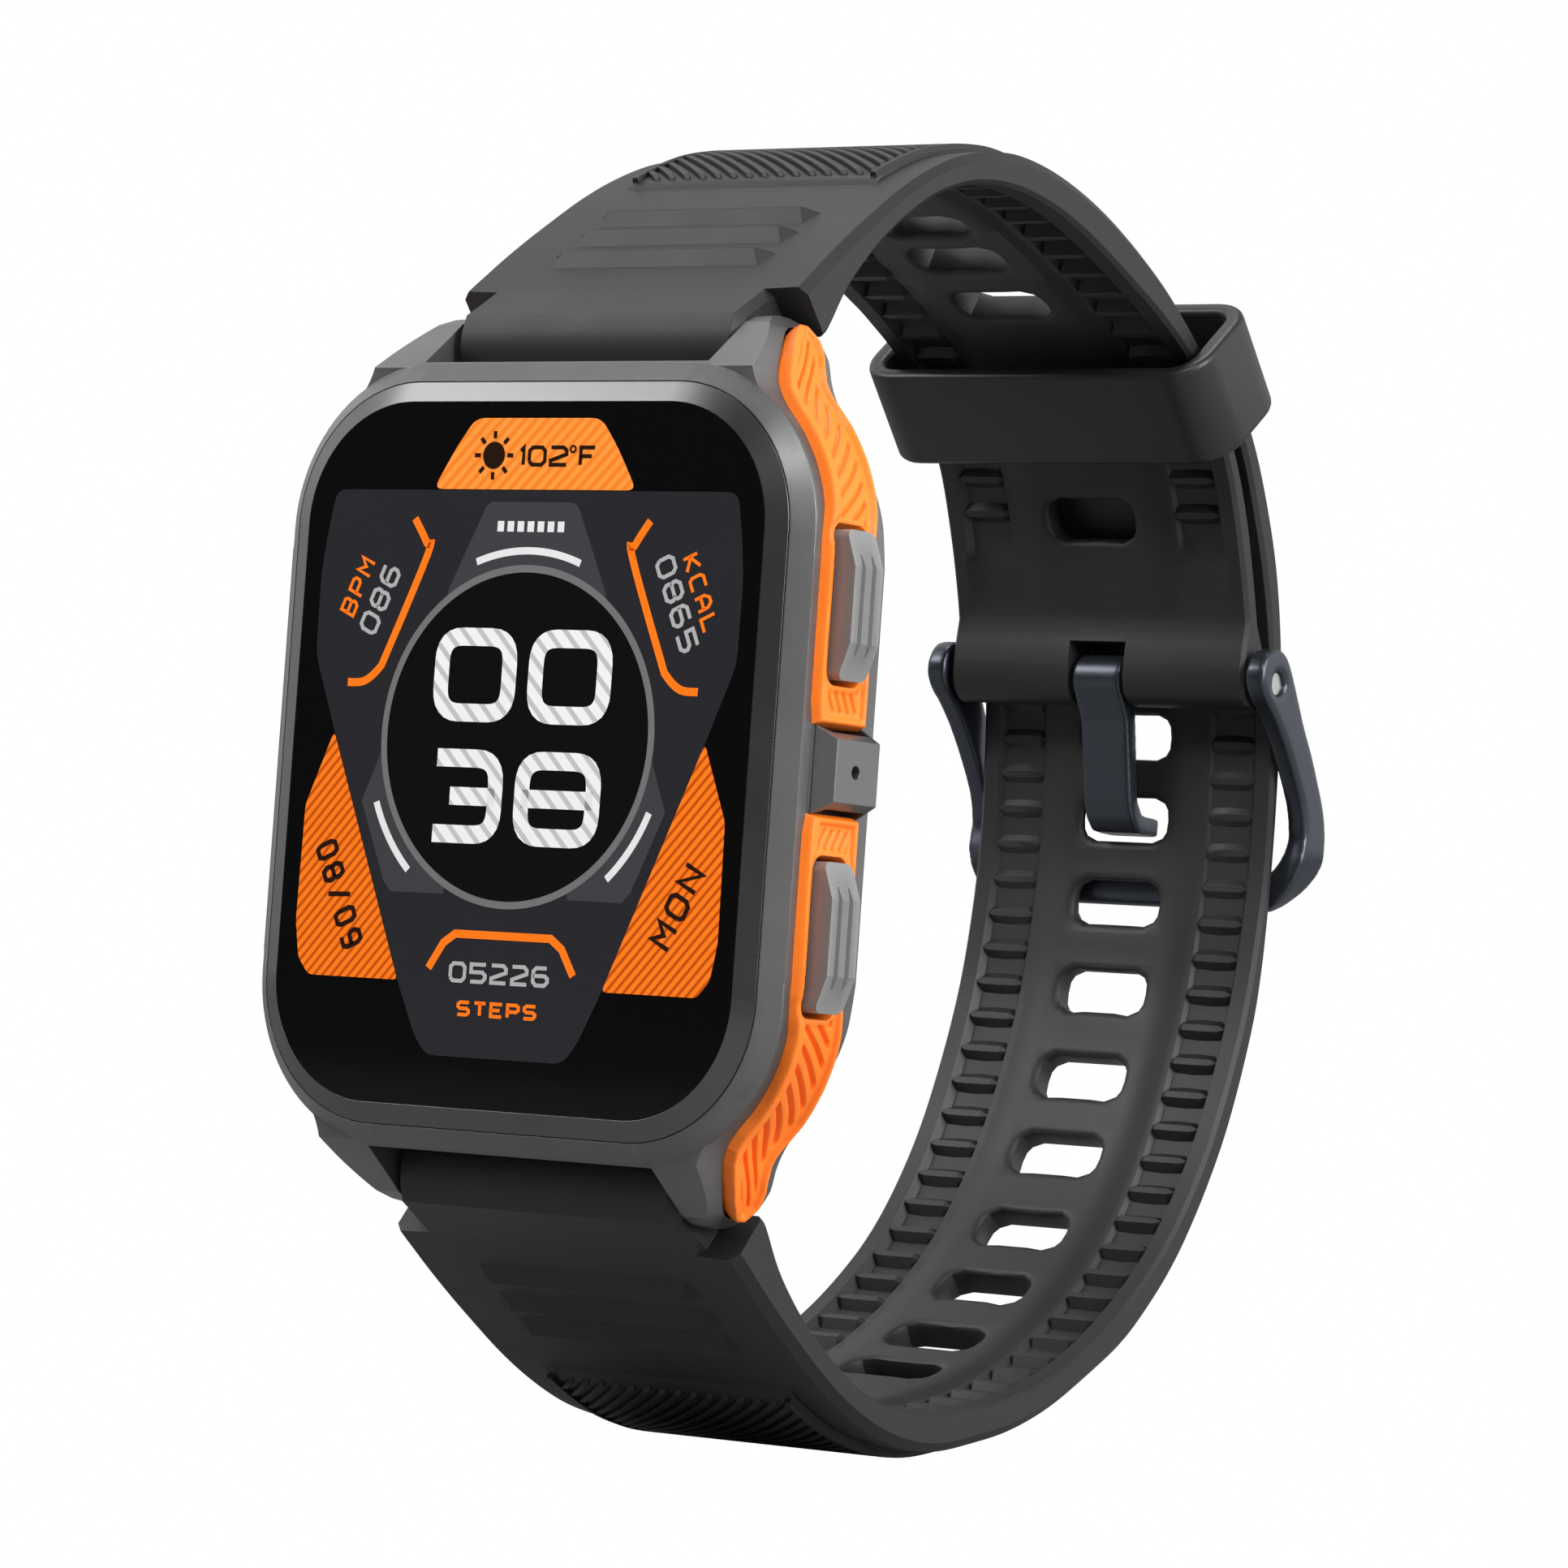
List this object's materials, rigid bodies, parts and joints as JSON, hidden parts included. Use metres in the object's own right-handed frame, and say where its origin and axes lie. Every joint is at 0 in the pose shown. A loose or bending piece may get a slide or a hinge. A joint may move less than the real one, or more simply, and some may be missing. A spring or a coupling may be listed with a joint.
{
  "type": "gps running watch",
  "caption": "Rectangular GPS running watch with orange side bumpers, grooved push buttons and a buckled perforated rubber strap.",
  "frame": {"origin": "centre of the outer face of the sensor window on the case back", "axes": "+Z towards the 12 o'clock end, +X towards the push buttons, -Y out of the display, +Y into the wrist"},
  "size_m": [0.0438, 0.0731, 0.0834],
  "materials": {
    "case_metal": "satin gunmetal",
    "bezel_metal": "semi-gloss gunmetal",
    "crystal": "polished",
    "display": "gloss",
    "seal_rubber": "matte",
    "bumper_orange": "satin",
    "back_plastic": "fine matte",
    "sensor_glass": "polished",
    "frame_plastic": "matte",
    "board": "solder mask",
    "battery_foil": "foil",
    "ceramic": "matte",
    "gold_contact": "plated",
    "pin_steel": "brushed",
    "button_metal": "satin",
    "strap_rubber": "matte",
    "buckle_metal": "semi-gloss"
  },
  "bodies": {
    "case": {"mid_case": "case_metal", "bezel_ring": "bezel_metal", "crystal_glass": "crystal", "right_upper_bumper": "bumper_orange", "right_lower_bumper": "bumper_orange", "left_upper_bumper": "bumper_orange", "left_lower_bumper": "bumper_orange", "back_cover": "back_plastic", "sensor_window": "sensor_glass", "display_panel": "display", "bezel_gasket": "seal_rubber", "inner_chassis": "frame_plastic", "main_board": "board", "battery": "battery_foil", "gps_antenna": "ceramic", "vibration_motor": "pin_steel", "speaker": "frame_plastic", "microphone": "battery_foil", "upper_switch": "frame_plastic", "lower_switch": "frame_plastic", "optical_sensor_board": "board", "back_gasket": "seal_rubber", "charging_contacts": "gold_contact", "back_screws": "pin_steel", "upper_button_seal": "seal_rubber", "lower_button_seal": "seal_rubber"},
    "upper_button": {"upper_button": "button_metal", "upper_button_clip": "pin_steel"},
    "lower_button": {"lower_button": "button_metal", "lower_button_clip": "pin_steel"},
    "top_strap": {"buckle_strap": "strap_rubber", "buckle_pin": "pin_steel", "top_spring_bar_tube": "pin_steel", "top_release_spring": "pin_steel"},
    "bottom_strap": {"hole_strap": "strap_rubber", "bottom_spring_bar_tube": "pin_steel", "bottom_release_spring": "pin_steel"},
    "top_release": {"top_release_pin": "pin_steel"},
    "bottom_release": {"bottom_release_pin": "pin_steel"},
    "keeper": {"keeper_loop": "strap_rubber"},
    "buckle": {"buckle_frame": "buckle_metal"},
    "tang": {"buckle_tang": "buckle_metal"}
  },
  "joints": [
    {"name": "upper_button_press", "type": "slide", "parent": "case", "child": "upper_button", "axis": [-1, 0, 0], "range_m": [0, 0.0005], "stiffness_N_per_m": 25, "springref_m": -0.004},
    {"name": "lower_button_press", "type": "slide", "parent": "case", "child": "lower_button", "axis": [-1, 0, 0], "range_m": [0, 0.0005], "stiffness_N_per_m": 25, "springref_m": -0.004},
    {"name": "top_strap_pivot", "type": "hinge", "parent": "case", "child": "top_strap", "pos_m": [0, -0.0043, 0.0257], "axis": [1, 0, 0], "range_deg": [-0.25, 0.25]},
    {"name": "bottom_strap_pivot", "type": "hinge", "parent": "case", "child": "bottom_strap", "pos_m": [0, -0.0043, -0.0257], "axis": [1, 0, 0], "range_deg": [-0.25, 0.25]},
    {"name": "top_quick_release", "type": "slide", "parent": "top_strap", "child": "top_release", "axis": [-1, 0, 0], "range_m": [0, 0.0014], "stiffness_N_per_m": 8, "springref_m": -0.004},
    {"name": "bottom_quick_release", "type": "slide", "parent": "bottom_strap", "child": "bottom_release", "axis": [-1, 0, 0], "range_m": [0, 0.0014], "stiffness_N_per_m": 8, "springref_m": -0.004},
    {"name": "keeper_slide", "type": "slide", "parent": "top_strap", "child": "keeper", "axis": [0, 0.6355, -0.7721], "range_m": [-0.0008, 0.0008]},
    {"name": "buckle_hinge", "type": "hinge", "parent": "top_strap", "child": "buckle", "pos_m": [0, 0.0541, 0.0105], "axis": [1, 0, 0], "range_deg": [0, 80]},
    {"name": "tang_hinge", "type": "hinge", "parent": "top_strap", "child": "tang", "pos_m": [0, 0.0541, 0.0105], "axis": [1, 0, 0], "range_deg": [-35, 0]}
  ]
}
